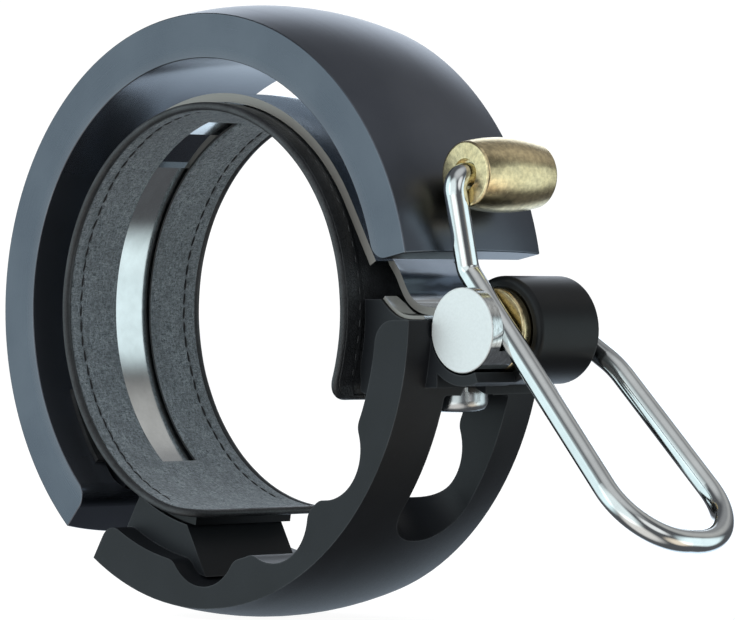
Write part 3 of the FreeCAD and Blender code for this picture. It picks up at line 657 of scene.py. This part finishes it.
def edge_cord():
    """The cover's rolled edge: an uneven bead all round the liner."""
    path = outline(CORD_R)
    around = 14
    points, faces = [], []
    for (arc, y), (nx, ny) in path:
        fat = 1 + 0.035 * math.sin(arc / (1.9 * MM)) + 0.025 * math.sin(arc / (0.7 * MM) + y * 900)
        for k in range(around):
            a = TAU * k / around
            side, up = CORD_R * fat * math.cos(a), (LINER_R1 - FELT_R0) / 2 * 0.97 * math.sin(a)
            points.append(on_cylinder(arc + nx * side, y + ny * side, LINER_MID_R + up, LINER_MID_R))
    total = len(path)
    for i in range(total):
        for k in range(around):
            n, m = (i + 1) % total, (k + 1) % around
            faces.append([i * around + k, i * around + m, n * around + m, n * around + k])
    return mesh_object("liner_edge_roll", points, faces)


def stitch_row(name, seam_y, radius, sink, start, end):
    """One line of stitches: short bowed threads that dive into the layer at each end."""
    random.seed(name)
    rings, around = 9, 8
    points, faces = [], []
    arc = start
    while arc + STITCH < end:
        length = STITCH * random.uniform(0.93, 1.05)
        tilt, base = random.uniform(-0.04, 0.04) * MM, len(points)
        for i in range(rings):
            t = i / (rings - 1)
            s = arc + length * t
            y = seam_y + seam_wave(s) + tilt * (t - 0.5) * 2
            high = math.sin(math.pi * t) ** 0.5
            fat = THREAD_R * (0.55 + 0.45 * high)
            r = radius + sink * (1 - high)
            for k in range(around):
                a = TAU * k / around
                points.append(on_cylinder(s, y + fat * math.cos(a), r + fat * math.sin(a), LINER_MID_R))
        for i in range(rings - 1):
            for k in range(around):
                m = (k + 1) % around
                a, b = base + i * around, base + (i + 1) * around
                faces.append([a + k, a + m, b + m, b + k])
        faces.append([base + k for k in range(around)])
        faces.append([base + (rings - 1) * around + k for k in range(around)][::-1])
        arc += length + STITCH_GAP
    return mesh_object(name, points, faces)


def make_liner():
    felt = layer_mesh("felt_pad", felt_inner, felt_outer, FELT_MARGIN)
    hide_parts("felt_liner")
    finish_piece(felt, felt_material())
    cover = layer_mesh("leather_cover", cover_inner, cover_outer, CORD_R)
    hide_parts("liner_cover")
    leather = leather_material("liner_leather", (0.03, 0.032, 0.035), 0.42)
    finish_piece(cover, leather)
    roll = finish_piece(edge_cord(), leather)
    dark = thread_material("dark_thread", (0.012, 0.013, 0.016))
    pale = thread_material("cover_thread", (0.1, 0.105, 0.11))
    start, end = arc_at(START_DEG) + START_SEAM, arc_at(END_DEG) - END_SEAM
    rows = []
    for side, seam_y in (("front", FRONT_Y + SEAM_INSET), ("rear", REAR_Y - SEAM_INSET)):
        inner = stitch_row("felt_stitches_" + side, seam_y, FELT_R0 + 0.09 * MM, 0.14 * MM, start, end)
        outer = stitch_row("cover_stitches_" + side, seam_y, LINER_R1 - 0.09 * MM, -0.12 * MM, start, end)
        rows += [finish_piece(inner, dark), finish_piece(outer, pale)]
    return [felt, cover, roll] + rows


# ---------------------------------------------------------------- stage, light and camera
TARGET = Vector((11.57 * MM, 0, 0.08 * MM))
CAMERA_AZIMUTH = math.radians(45.46)
CAMERA_DISTANCE = 385.8 * MM
LENS, SENSOR = 240.3, 36.0


def direction(azimuth, elevation):
    """Unit vector towards a place seen at this azimuth (0 is the front, 90 the right) and height."""
    a, e = math.radians(azimuth), math.radians(elevation)
    return Vector((math.sin(a) * math.cos(e), -math.cos(a) * math.cos(e), math.sin(e)))


# soft boxes painted on the world:
# azimuth, elevation, inner and outer angle from the middle, colour, strength
SOFT_BOXES = (
    (-45, 2, 26, 44, (0.80, 0.97, 1.0), 0.95),
    (15, 4, 24, 46, (0.9, 0.99, 1.0), 0.85),
    (135, -5, 17, 33, (0.82, 0.97, 1.0), 1.0),
    (155, 38, 4, 24, (0.98, 0.95, 0.88), 0.22),
    (180, 48, 10, 40, (0.98, 0.97, 0.97), 0.18),
    (-137, 14, 9, 30, (0.88, 0.97, 1.08), 1.8),
    (-143, -27, 6, 26, (0.78, 0.95, 1.12), 0.95),
    (60, 62, 10, 40, (1.0, 1.0, 1.0), 0.45),
    (20, -50, 16, 44, (1.0, 0.95, 0.9), 0.7),
    (85, 15, 8, 22, (1.0, 1.0, 1.0), 0.8),
    (108, -30, 4, 26, (1.0, 0.84, 0.66), 0.8),
)
AMBIENT = (0.09, 0.093, 0.1)
BACKDROP_R, FLOOR_HALF = 30, 8.0
FLOOR_GAP = 0.02 * MM


def make_world():
    world = bpy.data.worlds.new("studio")
    bpy.context.scene.world = world
    world.use_nodes = True
    tree = world.node_tree
    nodes, links = tree.nodes, tree.links
    background = nodes["Background"]
    place = nodes.new("ShaderNodeTexCoord").outputs["Generated"]
    total = None
    for azimuth, elevation, inner, outer, colour, strength in SOFT_BOXES:
        dot = nodes.new("ShaderNodeVectorMath")
        dot.operation = "DOT_PRODUCT"
        links.new(place, dot.inputs[0])
        dot.inputs[1].default_value = direction(azimuth, elevation)
        fade = nodes.new("ShaderNodeMapRange")
        fade.interpolation_type = "SMOOTHSTEP"
        links.new(dot.outputs["Value"], fade.inputs[0])
        fade.inputs[1].default_value = math.cos(math.radians(outer))
        fade.inputs[2].default_value = math.cos(math.radians(inner))
        add = nodes.new("ShaderNodeMix")
        add.data_type, add.blend_type = "RGBA", "ADD"
        add.inputs[6].default_value = (*AMBIENT, 1)
        add.inputs[7].default_value = (*[c * strength for c in colour], 1)
        links.new(fade.outputs[0], add.inputs["Factor"])
        if total is not None:
            links.new(total, add.inputs[6])
        total = add.outputs[2]
    links.new(total, background.inputs["Color"])
    background.inputs["Strength"].default_value = 1.0


def plain_plane(name, half, z, material):
    points = [(-half, -half, z), (half, -half, z), (half, half, z), (-half, half, z)]
    plane = mesh_object(name, points, [[0, 1, 2, 3]], smooth=False)
    plane.data.materials.append(material)
    return plane


def white_backdrop():
    """A far pale shell that only the camera sees, so that reflections keep the studio's shapes."""
    bpy.ops.mesh.primitive_uv_sphere_add(segments=64, ring_count=32, radius=BACKDROP_R)
    shell = bpy.context.object
    shell.name = "backdrop"
    t = Tree("backdrop_white")
    t.set("Base Color", (0.0, 0.0, 0.0))
    t.set("Emission Color", (1.0, 1.0, 1.0))
    t.set("Emission Strength", 1.05)
    shell.data.materials.append(t.material)
    shell.visible_diffuse = shell.visible_glossy = shell.visible_shadow = False
    shell.visible_transmission = shell.visible_volume_scatter = False


def area_light(name, azimuth, elevation, distance, size, power, colour):
    data = bpy.data.lights.new(name, "AREA")
    data.shape, data.size, data.size_y = "RECTANGLE", size[0], size[1]
    data.energy, data.color = power, colour
    light = bpy.data.objects.new(name, data)
    bpy.context.scene.collection.objects.link(light)
    way = direction(azimuth, elevation)
    light.location = TARGET + way * distance
    light.rotation_mode = "QUATERNION"
    light.rotation_quaternion = way.to_track_quat("Z", "Y")
    return light


def make_stage():
    base_z = min(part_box(n)[0].z for n in nodes)
    floor = plain_plane("floor", FLOOR_HALF, base_z - FLOOR_GAP, floor_material())
    floor.visible_glossy = floor.visible_diffuse = False
    white_backdrop()
    make_world()
    key = area_light("key", -20, 40, 0.9, (0.7, 0.5), 3.6, (1.0, 0.99, 0.98))
    fill = area_light("fill", -75, 25, 1.0, (0.8, 0.6), 3.0, (0.95, 0.98, 1.0))
    for light in (key, fill):
        light.visible_glossy = False


def make_camera():
    data = bpy.data.cameras.new("camera")
    data.lens, data.sensor_width = LENS, SENSOR
    data.clip_start, data.clip_end = 0.01, 100
    camera = bpy.data.objects.new("camera", data)
    bpy.context.scene.collection.objects.link(camera)
    way = Vector((math.sin(CAMERA_AZIMUTH), -math.cos(CAMERA_AZIMUTH), 0))
    camera.location = TARGET + way * CAMERA_DISTANCE
    camera.rotation_mode = "QUATERNION"
    camera.rotation_quaternion = way.to_track_quat("Z", "Y")
    bpy.context.scene.camera = camera


bpy.context.scene.view_settings.view_transform = "Standard"
dress_frame()
make_liner()
make_stage()
make_camera()
